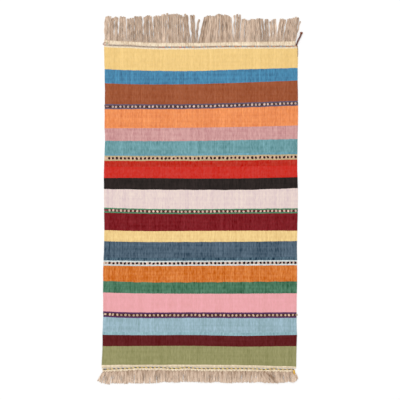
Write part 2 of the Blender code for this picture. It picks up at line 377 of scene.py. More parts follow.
def makeWool(name):
    values = woolValues
    material, tree, shader = newMaterial(name, values["roughness"], values["sheen"])
    seed = attributeOf(tree, "streakSeed", "Fac")
    place = objectPlace(tree)
    spot = splitVector(tree, place)
    cell = splitVector(tree, attributeOf(tree, "weave", "Vector"))

    streak = vectorOf(tree, spot[0], maths(tree, "MULTIPLY", spot[1], values["streakRate"]), seed)
    dash = vectorOf(tree, spot[0], maths(tree, "MULTIPLY", spot[1], values["dashRate"]), seed)
    sideWays = maths(tree, "MULTIPLY", spot[0], values["weftRate"])
    weft = vectorOf(tree, sideWays, spot[1], seed)
    rib = maths(tree, "FLOOR", cell[0])
    ribTone = addNode(tree, "TexWhiteNoise", {"Vector": vectorOf(tree, rib, seed)},
                      noise_dimensions="2D").outputs[0]
    tone = maths(tree, "MULTIPLY", ribTone, values["ribTones"])
    for vector, key in ((streak, "coarseStreaks"), (streak, "fineStreaks"), (weft, "weftTones"),
                        (dash, "dashes")):
        scale, detail, spread, share = values[key]
        tone = addShares(tree, tone, (noise(tree, vector, scale, detail, spread), share))
    tone = maths(tree, "MULTIPLY_ADD", tone, values["toneSpread"], values["toneShift"])
    colour = mixColours(tree, tone, attributeOf(tree, "dyeDark"), attributeOf(tree, "dyeLight"))

    # the dye took a little differently from weft to weft and from patch to patch
    patch = vectorOf(tree, sideWays, spot[1], spot[0])
    hue = narrowed(tree, noise(tree, patch, values["hueScale"]), values["hueSpread"], 0.5)
    depth = narrowed(tree, noise(tree, patch, values["depthScale"]), values["depthSpread"], 1.0)
    colour = addNode(tree, "HueSaturation", {"Color": colour, "Hue": hue, "Saturation": depth})

    # one stitch over each rib at every pick, half a pick later on the next rib
    later = maths(tree, "MULTIPLY", maths(tree, "MODULO", rib, 2.0), 0.5)
    pick = addShares(tree, later, (cell[1], 1 / values["pickPitch"]),
                     (ribTone, values["pickJitter"]))
    pick = maths(tree, "MULTIPLY_ADD", maths(tree, "FRACT", pick), 2.0, -1.0)
    pick = maths(tree, "SUBTRACT", 1.0, maths(tree, "MULTIPLY", pick, pick))
    across = maths(tree, "MULTIPLY_ADD", maths(tree, "FRACT", cell[0]), 2.0, -1.0)
    across = maths(tree, "POWER", maths(tree, "ABSOLUTE", across), 3.0)
    across = maths(tree, "SUBTRACT", 1.0, across)
    height = addShares(tree, 0.0, (maths(tree, "MULTIPLY", pick, across), values["stitchShare"]),
                       (across, values["ribShare"]),
                       (noise(tree, place, values["fibreScale"]), values["fibreShare"]))
    shade = maths(tree, "MULTIPLY_ADD", height, values["shadeSpread"], values["shadeLow"])
    tree.links.new(scaled(tree, colour.outputs[0], shade), shader.inputs["Base Color"])
    addBump(tree, shader, height, values["bumpStrength"], values["bumpDistance"])
    return material


stripedWool = makeWool("striped_wool")

# The cloth and its stripes, from the top edge down. Each has the place of its lower edge
# at the middle of the rug in mm, then the darker and the lighter dye of its wool.

clothValues = {
    "flat": (1.0, 1.665),
    "topEdge": 815.1,
    "rowHeight": 36.0,
    "bandRaise": 0.3 * mm,
    "topInset": 3.35 * mm,
    "bottomInset": 3.65 * mm,
    "wander": (0.0009, 7.3, 41.0),  # of the warps: share of the width, waves along and across
    "bandTones": (0.94, 1.05),  # darker and lighter wool of the bands' lines and ground
    "stripes": [
        (807.0, (234, 216, 186), (248, 232, 204)),  # cream header
        (695.0, (233, 197, 128), (242, 206, 136)),  # yellow
        (627.5, (68, 121, 155), (79, 141, 177)),  # blue
        (524.5, (150, 79, 48), (161, 90, 59)),  # rust
        "indigo",
        (403.4, (228, 136, 83), (242, 152, 95)),  # orange
        (334.9, (196, 143, 143), (212, 163, 160)),  # mauve
        (269.0, (97, 144, 149), (118, 165, 172)),  # teal
        (258.1, (96, 146, 160), (116, 166, 182)),  # bluer teal
        "sand",
        (200.9, (183, 32, 19), (190, 56, 43)),  # deep red
        (141.2, (200, 43, 33), (204, 56, 48)),  # red
        (84.0, (37, 31, 29), (48, 40, 38)),  # black
        (-16.0, (223, 202, 200), (233, 214, 206)),  # pale rose
        "leaf",
        (-127.8, (114, 19, 25), (130, 35, 41)),  # maroon
        (-185.5, (230, 196, 133), (242, 211, 146)),  # yellow
        (-267.4, (65, 84, 100), (89, 108, 124)),  # navy
        (-282.8, (49, 73, 89), (85, 110, 125)),  # darker navy
        "ice",
        (-392.6, (199, 103, 34), (219, 130, 65)),  # orange
        (-451.8, (61, 106, 80), (85, 130, 104)),  # green
        (-547.7, (231, 163, 166), (237, 169, 175)),  # pink
        "plum",
        (-649.7, (143, 171, 180), (158, 186, 199)),  # sky blue
        (-665.1, (136, 169, 177), (155, 189, 198)),  # sky blue with more green
        (-720.2, (90, 23, 24), (100, 34, 36)),  # maroon
        (-817.6, (143, 141, 95), (155, 152, 106)),  # olive
        (-829.3, (226, 208, 177), (242, 224, 194)),  # cream header
    ],
}

# Dotted bands: the place of the lower edge in mm, two fine lines and a row of stitches
# in turn dot and ground between them. Dot and ground sizes are across and along, in mm.
# The dots run from a first place to a last one, and the left end has a stitch of its own:
# its place, its size across and along, and its dye.
bandValues = {
    "indigo": {"edge": 499.7, "line": (98, 88, 110), "dot": (204, 178, 166), "ground": (78, 54, 46),
               "dotSize": (12.3, 13.0), "groundSize": (8.5, 11.5), "dots": (-453.9, 489.0, 46),
               "end": (-480.0, 25.0, 8.0, (176, 140, 140)), "seed": 3},
    "sand": {"edge": 231.8, "line": (192, 172, 132), "dot": (56, 28, 28), "ground": (208, 176, 152),
             "dotSize": (13.6, 14.6), "groundSize": (9.0, 11.0), "dots": (-470.0, 489.0, 47),
             "end": (-487.0, 18.0, 10.0, (214, 178, 152)), "seed": 5},
    "leaf": {"edge": -40.7, "line": (76, 134, 100), "dot": (216, 184, 168), "ground": (86, 40, 42),
             "dotSize": (12.5, 13.4), "groundSize": (8.0, 11.5), "dots": (-469.4, 489.0, 47),
             "end": (-486.0, 22.0, 8.0, (140, 78, 80)), "seed": 7},
    "ice": {"edge": -309.1, "line": (206, 216, 216), "dot": (48, 26, 24), "ground": (216, 190, 176),
            "dotSize": (14.0, 14.2), "groundSize": (9.0, 11.0), "dots": (-469.4, 489.0, 47),
            "end": (-488.0, 9.0, 7.0, (126, 108, 84)), "seed": 11},
    "plum": {"edge": -576.5, "line": (90, 54, 96), "dot": (206, 174, 150), "ground": (78, 50, 42),
             "dotSize": (12.0, 13.0), "groundSize": (10.5, 12.0), "dots": (-469.0, 496.0, 47),
             "end": (-491.0, 20.0, 10.5, (226, 196, 176)), "seed": 13},
}
bandShares = (0.26, 0.5, 0.74)  # where the fine lines and the dot row meet within a band

# How far each weft line bows up from its place at the middle, in mm, at six places across
bowShares = (0.0, 0.12, 0.238, 0.455, 0.729, 1.0)
bowTable = [
    (695.0, 9.7, 4.5, 1.7, -0.5, 9.2, 16.8), (627.5, 4.8, -0.1, -1.5, -0.4, 8.5, 19.0),
    (499.7, -1.0, -0.3, -0.7, 0.2, 7.9, 17.7), (403.4, -2.8, -2.5, -2.0, -0.2, 4.1, 11.2),
    (334.9, 1.0, 0.1, -0.4, -0.1, 4.8, 10.6), (231.8, 1.2, 0.4, 0.8, 1.0, 3.9, 7.6),
    (141.2, 3.0, 3.5, 3.2, 0.5, 1.4, 7.5), (84.0, 3.3, 1.7, 0.0, -0.9, -1.3, 7.4),
    (-16.0, 7.6, 3.9, 0.9, -0.5, 1.8, 4.4), (-127.8, 3.3, -0.8, -2.4, -0.9, 0.5, 0.6),
    (-185.5, 3.9, 1.0, -0.5, 0.3, 1.2, 5.1), (-309.1, 2.2, 0.7, -0.4, 1.3, 2.5, 4.2),
    (-392.6, 6.9, 1.6, -1.1, -0.3, 1.4, 4.3), (-451.8, 6.4, 2.1, 0.7, -0.2, -0.2, 2.1),
    (-576.5, 5.0, -0.8, -1.7, 0.2, -1.4, 0.2), (-665.1, 1.5, 0.0, -0.6, 0.9, -4.5, 1.1),
    (-720.2, -1.9, -2.2, -1.1, -0.2, -5.1, -1.6), (-817.6, -1.4, -0.8, -0.5, -0.1, -1.9, -9.8),
]
bowWavers = (7, 12, 19)  # waves across the rug of a hand-beaten weft's small waver
bowWaver = 0.25  # its spread in mm
bowSmoothing = 31
fineCount = 200
fineShares = np.linspace(0.0, 1.0, fineCount + 1)
bowRandom = np.random.default_rng(17)


def smoothBow(values):
    bow = np.interp(fineShares, bowShares, values)
    padded = np.pad(bow, bowSmoothing // 2, mode="reflect", reflect_type="odd")
    bow = np.convolve(padded, np.ones(bowSmoothing) / bowSmoothing, mode="valid")
    for waves in bowWavers:
        bow = bow + bowRandom.normal(0, bowWaver) * np.sin(
            2 * np.pi * waves * fineShares + bowRandom.uniform(0, 6.28))
    return bow * mm


def endBow(line, inset, edge):
    left, right = line[0, 0], line[-1, 0]
    return lineAt(line, left + (right - left) * fineShares) + inset - edge


clothTop = clothValues["topEdge"] * mm
clothBottom = clothValues["stripes"][-1][0] * mm
bowRows = [(clothTop, endBow(topLine, -clothValues["topInset"], clothTop))]
bowRows += [(row[0] * mm, smoothBow(row[1:])) for row in bowTable]
bowRows.append((clothBottom, endBow(bottomLine, clothValues["bottomInset"], clothBottom)))
bowRows.reverse()
bowPlaces = np.array([row[0] for row in bowRows])
bowGrid = np.array([row[1] for row in bowRows])


def clothPlace(share, nominal):
    # share of the width and place along at the middle, as a point on the rug
    left = np.interp(nominal, selvedges[:, 0], selvedges[:, 1])
    right = np.interp(nominal, selvedges[:, 0], selvedges[:, 2])
    size, waves, ribWaves = clothValues["wander"]
    wander = size * np.sin(nominal * waves + share * ribWaves) * np.sin(np.pi * share)
    across = left + (right - left) * (share + wander)
    rowPlace = np.interp(nominal, bowPlaces, np.arange(len(bowPlaces)))
    low = np.clip(rowPlace.astype(int), 0, len(bowPlaces) - 2)
    column = np.clip(share * fineCount, 0, fineCount - 1e-6)
    first = column.astype(int)
    part = column - first
    upper = bowGrid[low + 1, first] * (1 - part) + bowGrid[low + 1, first + 1] * part
    lower = bowGrid[low, first] * (1 - part) + bowGrid[low, first + 1] * part
    return across, nominal + lower + (upper - lower) * (rowPlace - low)


def splitStripes():
    # rows of the weave from the bottom up, with the dyes of each and how far it stands up
    rows, dyes = [clothValues["topEdge"]], []
    raised = [0.0]
    for stripe in clothValues["stripes"]:
        start = rows[-1]
        if isinstance(stripe, str):
            band = bandValues[stripe]
            end = band["edge"]
            cuts = [start + (end - start) * share for share in bandShares] + [end]
            rows += cuts
            raised[-1] = clothValues["bandRaise"]
            raised += [clothValues["bandRaise"]] * 4
            for key in ("line", "ground", "ground", "line"):
                tone = np.array(band[key])
                darker, lighter = clothValues["bandTones"]
                dyes.append((tuple(tone * darker), tuple(np.minimum(tone * lighter, 250))))
        else:
            end, dark, light = stripe
            steps = math.ceil((start - end) / clothValues["rowHeight"])
            rows += [start + (end - start) * (step + 1) / steps for step in range(steps)]
            raised += [0.0] * steps
            dyes += [(dark, light)] * steps
    return np.array(rows[::-1]) * mm, raised[::-1], dyes[::-1]


rows, raised, rowDyes = splitStripes()
cloth, faceRow = weavePanel("striped_cloth", rows, clothPlace, raised, 5)
darks = np.array([dye(*pair[0]) for pair in rowDyes])
lights = np.array([dye(*pair[1]) for pair in rowDyes])
seeds, seed = [], 0.0
for index, pair in enumerate(rowDyes):
    if index and pair != rowDyes[index - 1]:
        seed += 3.7
    seeds.append(seed)
setFaceDyes(cloth.data, darks[faceRow], lights[faceRow], np.array(seeds)[faceRow])
cloth.data.materials.append(stripedWool)
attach(cloth, "root")
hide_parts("cloth")
print("kilim: striped cloth woven,", len(rows) - 1, "rows")

# Dot stitches in the dotted bands: one stitch, copied along the row by an array

stitchValues = {
    "segments": 12,
    "rings": 7,
    "height": 3.6 * mm,
    "sink": 0.12,  # share of the height below the widest line that is kept
    "dotLift": 2.75 * mm,
    "groundLift": 2.35 * mm,
    "slant": 0.14,
    "turn": 0.07,
    "ribSlip": 0.18,
    "sizeSpread": 0.08,
    "wander": 0.5 * mm,
    "tones": (0.90, 1.08),
    "darker": 0.93,
    "lighter": 1.05,
}


def stitchRow(count, size):
    deselectAll()
    bpy.ops.mesh.primitive_uv_sphere_add(
        segments=stitchValues["segments"], ring_count=stitchValues["rings"], radius=0.5)
    stitch = bpy.context.object
    editAll(stitch)
    bpy.ops.transform.resize(value=(size[0] * mm, size[1] * mm, stitchValues["height"]))
    cut = -stitchValues["sink"] * stitchValues["height"]
    bpy.ops.mesh.bisect(plane_co=(0.0, 0.0, cut), plane_no=(0.0, 0.0, 1.0), use_fill=True,
                        clear_inner=True)
    bpy.ops.object.mode_set(mode="OBJECT")
    bpy.ops.object.modifier_add(type="ARRAY")
    row = stitch.modifiers[-1]
    row.count = count
    row.use_relative_offset = False
    row.use_constant_offset = True
    row.constant_offset_displace = (0.02, 0.0, 0.0)
    bpy.ops.object.modifier_apply(modifier=row.name)
    return stitch


def ribAt(across, along):
    # place counted in ribs of a point on the rug
    left = np.interp(along, selvedges[:, 0], selvedges[:, 1])
    right = np.interp(along, selvedges[:, 0], selvedges[:, 2])
    return np.interp((across - left) / (right - left), ribEdges, np.arange(len(ribEdges)))


def placeStitches(stitch, ribPlaces, middle, lift, tone, random):
    # every copy goes to its own ribs, with a size, turn, slant and tone of its own
    values = stitchValues
    count = len(ribPlaces)
    points = readPoints(stitch.data).reshape(count, -1, 3)
    shape = points[0].copy()
    slips = random.normal(0, values["ribSlip"], count)
    across, along = clothPlace(ribShare(ribPlaces + slips), np.full(count, middle))
    for index in range(count):
        turn = random.normal(0, values["turn"])
        cosine, sine = math.cos(turn), math.sin(turn)
        local = shape * (1.0 + random.normal(0, values["sizeSpread"], 3))
        local[:, 0] += local[:, 1] * random.normal(0, values["slant"])
        points[index, :, 0] = across[index] + local[:, 0] * cosine - local[:, 1] * sine
        points[index, :, 1] = along[index] + local[:, 0] * sine + local[:, 1] * cosine
        points[index, :, 2] = local[:, 2] + lift
        points[index, :, 1] += random.normal(0, values["wander"])
    writePoints(stitch.data, points.reshape(-1, 3))
    tones = np.clip(np.array(tone) * random.uniform(*values["tones"], (count, 1)), 0, 250)
    darks = np.array([dye(*(one * values["darker"])) for one in tones])
    lights = np.array([dye(*np.minimum(one * values["lighter"], 252)) for one in tones])
    each = len(stitch.data.polygons) // count
    setFaceDyes(stitch.data, np.repeat(darks, each, axis=0), np.repeat(lights, each, axis=0),
                np.repeat(random.uniform(0, 50, count), each))
    # the same woven pattern runs on over the stitches
    places = readPoints(stitch.data)
    ribsPerMetre = ribValues["count"] / (selvedges[0, 2] - selvedges[0, 1])
    setWeave(stitch.data, np.column_stack((places[:, 0] * ribsPerMetre, places[:, 1],
                                           np.zeros(len(places)))))


bandTops = {}
for stripe, upper in zip(clothValues["stripes"][1:], clothValues["stripes"]):
    if isinstance(stripe, str):
        bandTops[stripe] = upper[0]

for name, band in bandValues.items():
    random = np.random.default_rng(band["seed"])
    middle = (bandTops[name] + band["edge"]) / 2 * mm
    first, last, count = band["dots"]
    ribPlaces = np.linspace(ribAt(first * mm, middle), ribAt(last * mm, middle), count)
    dots = stitchRow(count, band["dotSize"])
    placeStitches(dots, ribPlaces, middle, stitchValues["dotLift"], band["dot"], random)
    grounds = stitchRow(count - 1, band["groundSize"])
    placeStitches(grounds, (ribPlaces[1:] + ribPlaces[:-1]) / 2, middle,
                  stitchValues["groundLift"], band["ground"], random)
    across, width, height, tone = band["end"]
    end = stitchRow(1, (width, height))
    placeStitches(end, np.array([ribAt(across * mm, middle)]), middle,
                  stitchValues["groundLift"], tone, random)
    row = joinPieces("dots_" + name, [dots, grounds, end])
    row.data.shade_smooth()
    row.data.materials.append(stripedWool)
    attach(row, "root")
print("kilim: dotted bands stitched")

# Yarns: curves with round bevels, made meshes with a UV map along and around each yarn


def makeTubes(name, routes, radii, level):
    curve = bpy.data.curves.new(name, "CURVE")
    curve.dimensions = "3D"
    curve.twist_mode = "Z_UP"
    curve.bevel_depth = 1.0
    curve.bevel_resolution = level
    curve.use_fill_caps = True
    for route, thickness in zip(routes, radii):
        line = curve.splines.new("POLY")
        line.points.add(len(route) - 1)
        line.points.foreach_set("co", np.column_stack((route, np.ones(len(route)))).ravel())
        line.points.foreach_set("radius", np.broadcast_to(thickness, len(route)).copy())
        line.use_smooth = True
    piece = bpy.data.objects.new(name, curve)
    scene.collection.objects.link(piece)
    deselectAll()
    piece.select_set(True)
    bpy.context.view_layer.objects.active = piece
    bpy.ops.object.convert(target="MESH")
    piece = bpy.context.object
    editAll(piece)
    bpy.ops.mesh.remove_doubles(threshold=0.00001)
    bpy.ops.mesh.normals_make_consistent(inside=False)
    bpy.ops.object.mode_set(mode="OBJECT")
    piece.data.shade_smooth()
    return piece


def resample(route, step):
    steps = np.linalg.norm(np.diff(route, axis=0), axis=1)
    lengths = np.concatenate(([0.0], np.cumsum(steps)))
    count = max(int(round(lengths[-1] / step)), 2)
    places = np.linspace(0.0, lengths[-1], count + 1)
    columns = [np.interp(places, lengths, route[:, axis]) for axis in range(route.shape[1])]
    return np.column_stack(columns), places


def sideOf(route):
    # unit vectors pointing left of a route that lies on the floor
    ahead = np.gradient(route[:, :2], axis=0)
    ahead /= np.linalg.norm(ahead, axis=1)[:, None]
    return np.column_stack((-ahead[:, 1], ahead[:, 0]))


def twistPly(route, places, values, turn):
    # one ply winding round a route on the floor
    phase = 2 * math.pi * (places / values["pitch"] + turn)
    side = sideOf(route) * (values["swing"] * np.cos(phase))[:, None]
    height = values["lift"] + values["rise"] * np.sin(phase)
    return np.column_stack((route[:, :2] + side, height))


def pressFlat(piece):
    # yarns on the floor are pressed flat where they touch it
    points = readPoints(piece.data)
    points[:, 2] = np.maximum(points[:, 2], 0.05 * mm)
    writePoints(piece.data, points)


# Yarn finishes: tone from yarn to yarn, twist and fibres along each, with painted shade in the
# twist and between strands

# each finish's last value is how dark a yarn gets in the painted shade lines between strands
yarnFinishes = {
    "warp_yarn": {"dark": (156, 126, 102), "light": (245, 221, 199), "strandShade": 0.76},
    "brown_yarn": {"dark": (88, 56, 50), "light": (140, 100, 88), "strandShade": 0.9},
    "knot_yarn": {"dark": (88, 42, 28), "light": (152, 86, 56), "strandShade": 0.9},
}
yarnValues = {
    "roughness": 0.95,
    "sheen": 0.02,
    "plies": 3,
    "fibreScale": 700.0,
    "fibreSpread": 1.5,
    "fibreShare": 0.2,
    "fibreBump": 0.3,
    "lengthRate": 0.22,  # how slowly streaks and the painted shade lines between strands change along the yarns
    "streaks": (130.0, 1.0, 2.2, 0.45),  # scale, detail, spread and share
    "strandShades": (85.0, 1.0, 1.0),
    "strandShadeEdge": (0.34, 0.46),
    "islandShare": 0.3,
    "twistShade": (0.16, 0.88),
    "bumpStrength": 0.8,
    "bumpDistance": 0.5 * mm,
}
dyedYarnValues = {
    "twineTurns": 180,
    "smallTurns": 12,
    "sheen": 0.01,
    "clouds": (60.0, 2.0, 2.0, 0.7),
    "fibreShare": 0.3,
    "twistShade": (0.22, 0.84),
    "bumpDistance": 0.4 * mm,
}


def twistHeight(tree, turns):
    # lobes of a twisted yarn from its UV map, 0 to 1
    spot = splitVector(tree, addNode(tree, "UVMap", {}).outputs[0])
    phase = maths(tree, "MULTIPLY_ADD", spot[0], turns * 2 * math.pi,
                  maths(tree, "MULTIPLY", spot[1], yarnValues["plies"] * 2 * math.pi))
    return maths(tree, "MULTIPLY_ADD", maths(tree, "SINE", phase), 0.5, 0.5)


def fibresOf(tree):
    return noise(tree, objectPlace(tree), yarnValues["fibreScale"], 2.0, yarnValues["fibreSpread"])


def makeYarn(name, finish, turns, tipShade=0.0, looped=False):
    # tipShade is painted shade along a yarn: it lightens a yarn from its start to its end, or a
    # loop towards its middle, and darkens them there when it is below zero
    values, dyes = yarnValues, yarnFinishes[finish]
    material, tree, shader = newMaterial(name, values["roughness"], values["sheen"])
    spot = splitVector(tree, objectPlace(tree))
    along = splitVector(tree, addNode(tree, "UVMap", {}).outputs[0])[0]
    island = addNode(tree, "NewGeometry", {}).outputs["Random Per Island"]
    if looped:
        along = maths(tree, "ABSOLUTE", maths(tree, "MULTIPLY_ADD", along, 2.0, -1.0))
        along = maths(tree, "SUBTRACT", 1.0, along)
    twist, fibre = twistHeight(tree, turns), fibresOf(tree)
    longWays = maths(tree, "MULTIPLY", spot[1], values["lengthRate"])
    scale, detail, spread, share = values["streaks"]
    streak = noise(tree, vectorOf(tree, spot[0], longWays), scale, detail, spread)
    # painted shade: thin dark lines along the yarns, where neighbouring strands shade each other
    strandShade = noise(tree, vectorOf(tree, spot[0], longWays, 3.0), *values["strandShades"])
    low, high = values["strandShadeEdge"]
    strandShade = addNode(tree, "MapRange", {0: strandShade, 1: low, 2: high, 3: dyes["strandShade"], 4: 1.0})
    tone = addShares(tree, attributeOf(tree, "yarnTone", "Fac"), (island, values["islandShare"]),
                     (streak, share), (fibre, values["fibreShare"]),
                     (maths(tree, "SUBTRACT", along, 0.5), tipShade))
    colour = mixColours(tree, tone, dye(*dyes["dark"]), dye(*dyes["light"]))
    shade = maths(tree, "MULTIPLY_ADD", twist, *values["twistShade"])
    shade = maths(tree, "MULTIPLY", shade, strandShade.outputs[0])
    tree.links.new(scaled(tree, colour, shade), shader.inputs["Base Color"])
    height = addShares(tree, twist, (fibre, values["fibreBump"]))
    addBump(tree, shader, height, values["bumpStrength"], values["bumpDistance"])
    return material


def setYarnTones(mesh, tones):
    # a tone for each yarn of a piece whose yarns all have the same number of faces
    layer = mesh.attributes.new("yarnTone", "FLOAT", "FACE")
    each = len(mesh.polygons) // len(tones)
    layer.data.foreach_set("value", np.repeat(tones, each).astype(np.float32))


def makeDyedYarn(name, turns):
    # for twined cords, with the dyes of each ply on its faces
    values = dyedYarnValues
    material, tree, shader = newMaterial(name, yarnValues["roughness"], values["sheen"])
    twist, fibre = twistHeight(tree, turns), fibresOf(tree)
    scale, detail, spread, share = values["clouds"]
    cloud = noise(tree, objectPlace(tree), scale, detail, spread)
    tone = addShares(tree, 0.0, (fibre, values["fibreShare"]), (cloud, share))
    colour = mixColours(tree, tone, attributeOf(tree, "dyeDark"), attributeOf(tree, "dyeLight"))
    shade = maths(tree, "MULTIPLY_ADD", twist, *values["twistShade"])
    tree.links.new(scaled(tree, colour, shade), shader.inputs["Base Color"])
    height = addShares(tree, twist, (fibre, yarnValues["fibreBump"]))
    addBump(tree, shader, height, yarnValues["bumpStrength"], values["bumpDistance"])
    return material


def faceCentres(mesh):
    centres = np.empty(len(mesh.polygons) * 3)
    mesh.polygons.foreach_get("center", centres)
    return centres.reshape(-1, 3)


plyShades = {"dark": 0.86, "light": 1.1}


def dyePly(piece, chooser):
    # chooser gives the screen colour of a ply at each place across and along
    tones = np.array([chooser(spot[0], spot[1]) for spot in faceCentres(piece.data)])
    darks = np.array([dye(*(tone * plyShades["dark"])) for tone in tones])
    lights = np.array([dye(*np.minimum(tone * plyShades["light"], 252)) for tone in tones])
    setFaceDyes(piece.data, darks, lights, np.zeros(len(tones)))


# Twined cord across the top: brown on the left, then rust and blue in turn, and faint specks
# on its first turns. Each list of dyes has one entry, or one list, for each of its two plies.

topTwine = {
    "pitch": 22.0 * mm, "swing": 0.4 * mm, "rise": 1.8 * mm, "lift": 3.7 * mm,
    "ply": 1.9 * mm, "flatness": 0.6, "speckUntil": -0.474, "brownUntil": -0.214,
    "rightFrom": 0.0, "orangeFrom": 0.479, "specks": (-0.498, -0.489, -0.480),
    "speckDyes": [[(196, 172, 160), (216, 142, 116), (170, 172, 142), (222, 178, 158)],
                  [(206, 184, 166), (224, 172, 146), (186, 184, 154), (214, 190, 164)]],
    "brown": [(188, 162, 142), (164, 138, 120)],
    "left": [[(232, 140, 60), (176, 130, 100), (214, 84, 60), (206, 96, 66), (184, 140, 110)],
             [(84, 152, 192), (170, 150, 136), (164, 142, 126), (94, 152, 188)]],
    "right": [[(222, 146, 88), (172, 128, 98), (186, 134, 98), (214, 138, 82)],
              [(160, 128, 106), (132, 172, 194), (166, 136, 114)]],
    "orange": [(232, 160, 96), (236, 176, 120)],
    "paces": (1.0, 1.0),
    "head": np.array([(-504.0, 836.0), (-501.5, 834.0)]) * mm,
    "tail": np.array([(495.0, 824.6), (499.0, 823.4)]) * mm,
}

# The one across the bottom: yellow and navy in turn, with a yellow tail over the fringe
bottomTwine = {
    "pitch": 22.0 * mm, "swing": 0.4 * mm, "rise": 1.9 * mm, "lift": 3.9 * mm,
    "ply": 1.95 * mm, "flatness": 0.6, "drop": 0.8 * mm,
    "tailPly": 2.6 * mm, "tailSwing": 1.4 * mm, "tailLift": 7.4 * mm,
    "firstTurn": (-0.500, -0.487), "tailStart": -0.8440, "tailTip": -0.866,
    "first": [(66, 66, 70), (38, 46, 68)],
    "tip": [(84, 98, 66), (244, 178, 44)],
    "tailDyes": [(250, 186, 50), (244, 178, 44)],
    "dyes": [[(252, 204, 72), (248, 194, 62), (236, 198, 112)],
             [(40, 52, 88), (92, 82, 86), (44, 62, 76), (124, 108, 94), (44, 58, 100)]],
    "paces": (0.3, 0.6),
    "tail": np.array([(477, -841.8), (480.4, -844.0), (481.6, -848.0), (481.2, -855.0),
                      (481.6, -862.0), (482.4, -868.0)]) * mm,
}


def turnTone(values, tones, across, ply):
    # the wool changes from turn to turn
    return tones[int((across + 0.6) / values["pitch"] * values["paces"][ply]) % len(tones)]


def topTone(ply, across, along):
    values = topTwine
    if across < values["speckUntil"]:
        return values["speckDyes"][ply][int(np.searchsorted(values["specks"], across))]
    if across < values["brownUntil"]:
        return values["brown"][ply]
    if across > values["orangeFrom"]:
        return values["orange"][ply]
    side = "left" if across < values["rightFrom"] else "right"
    return turnTone(values, values[side][ply], across, ply)


def bottomTone(ply, across, along):
    values = bottomTwine
    if values["firstTurn"][0] < across < values["firstTurn"][1]:
        return values["first"][ply]
    if along < values["tailTip"]:
        return values["tip"][ply]
    if along < values["tailStart"]:
        return values["tailDyes"][ply]
    return turnTone(values, values["dyes"][ply], across, ply)


def makeTwine(name, line, values, toneAt, node):
    route, places = resample(line, values["pitch"] / 10)
    thickness = values["ply"]
    if "tailStart" in values:  # a thicker tail lies over the fringe
        tail = route[:, 1] < values["tailStart"]
        thickness = np.where(tail, values["tailPly"], values["ply"])
        values = dict(values, swing=np.where(tail, values["tailSwing"], values["swing"]),
                      lift=np.where(tail, values["tailLift"], values["lift"]))
    plies = []
    for index in range(2):
        ply = makeTubes(name, [twistPly(route, places, values, index / 2)], [thickness], 2)
        dyePly(ply, lambda across, along: np.array(toneAt(index, across, along)))
        plies.append(ply)
    twine = joinPieces(name, plies)
    points = readPoints(twine.data)
    points[:, 2] *= values["flatness"]  # pressed flat between the wefts
    writePoints(twine.data, points)
    twine.data.materials.append(makeDyedYarn(name + "_yarn", dyedYarnValues["twineTurns"]))
    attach(twine, "root")
    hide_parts(node)
    return twine


topRoute = np.concatenate((topTwine["head"], topLine, topTwine["tail"]))
twineTop = makeTwine("twined_cord_top", topRoute, topTwine, topTone, "twining_top")
bottomRoute = np.concatenate((bottomLine - (0.0, bottomTwine["drop"]), bottomTwine["tail"]))
twineBottom = makeTwine("twined_cord_bottom", bottomRoute, bottomTwine, bottomTone,
                        "twining_bottom")
print("kilim: twined cords laid")

# Cream bands from which the fringes grow

bandPanels = {
    "top": {"ends": (-0.4965, 0.4895), "inner": 3.35 * mm, "rows": 4,
            "raised": -0.1 * mm,
            "outer": np.array([(-497, 30.5), (-465, 27.5), (-400, 24.5), (0, 23.8), (200, 24.4),
                               (300, 26.0), (420, 27.5), (490, 29.0)]) * mm,
            "dark": (218, 196, 168), "light": (248, 231, 204)},
    "bottom": {"ends": (-0.5055, 0.4855), "inner": 3.65 * mm, "rows": 2,
               "raised": -0.1 * mm,
               "outer": np.array([(-506, 16.8), (0, 16.6), (475, 17.2)]) * mm,
               "dark": (226, 206, 176), "light": (250, 234, 206)},
}


def makeBand(name, line, outward, values, seed):
    left, right = values["ends"]
    outer = values["outer"][:, 1].min()

    def place(share, nominal):
        across = left + (right - left) * share
        stretch = lineAt(values["outer"], across) / outer
        return across, lineAt(line, across) + nominal * stretch

    reach = np.linspace(values["inner"], outer, values["rows"] + 1) * outward
    rows = np.sort(reach)
    band = weavePanel(name, rows, place, [values["raised"]] * len(rows), seed)[0]
    count = len(band.data.polygons)
    setFaceDyes(band.data, np.tile(dye(*values["dark"]), (count, 1)),
                np.tile(dye(*values["light"]), (count, 1)), np.full(count, float(seed)))
    band.data.materials.append(stripedWool)
    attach(band, "root")
    return band


bandTop = makeBand("fringe_band_top", topLine, 1, bandPanels["top"], 61)
bandBottom = makeBand("fringe_band_bottom", bottomLine, -1, bandPanels["bottom"], 67)
print("kilim: fringe bands woven")

# Fringe clumps from left to right: roots and tips from and to, reach from and to, strands,
# curl and bow, as in the solids. Each strand of the top fringe is a looped yarn.

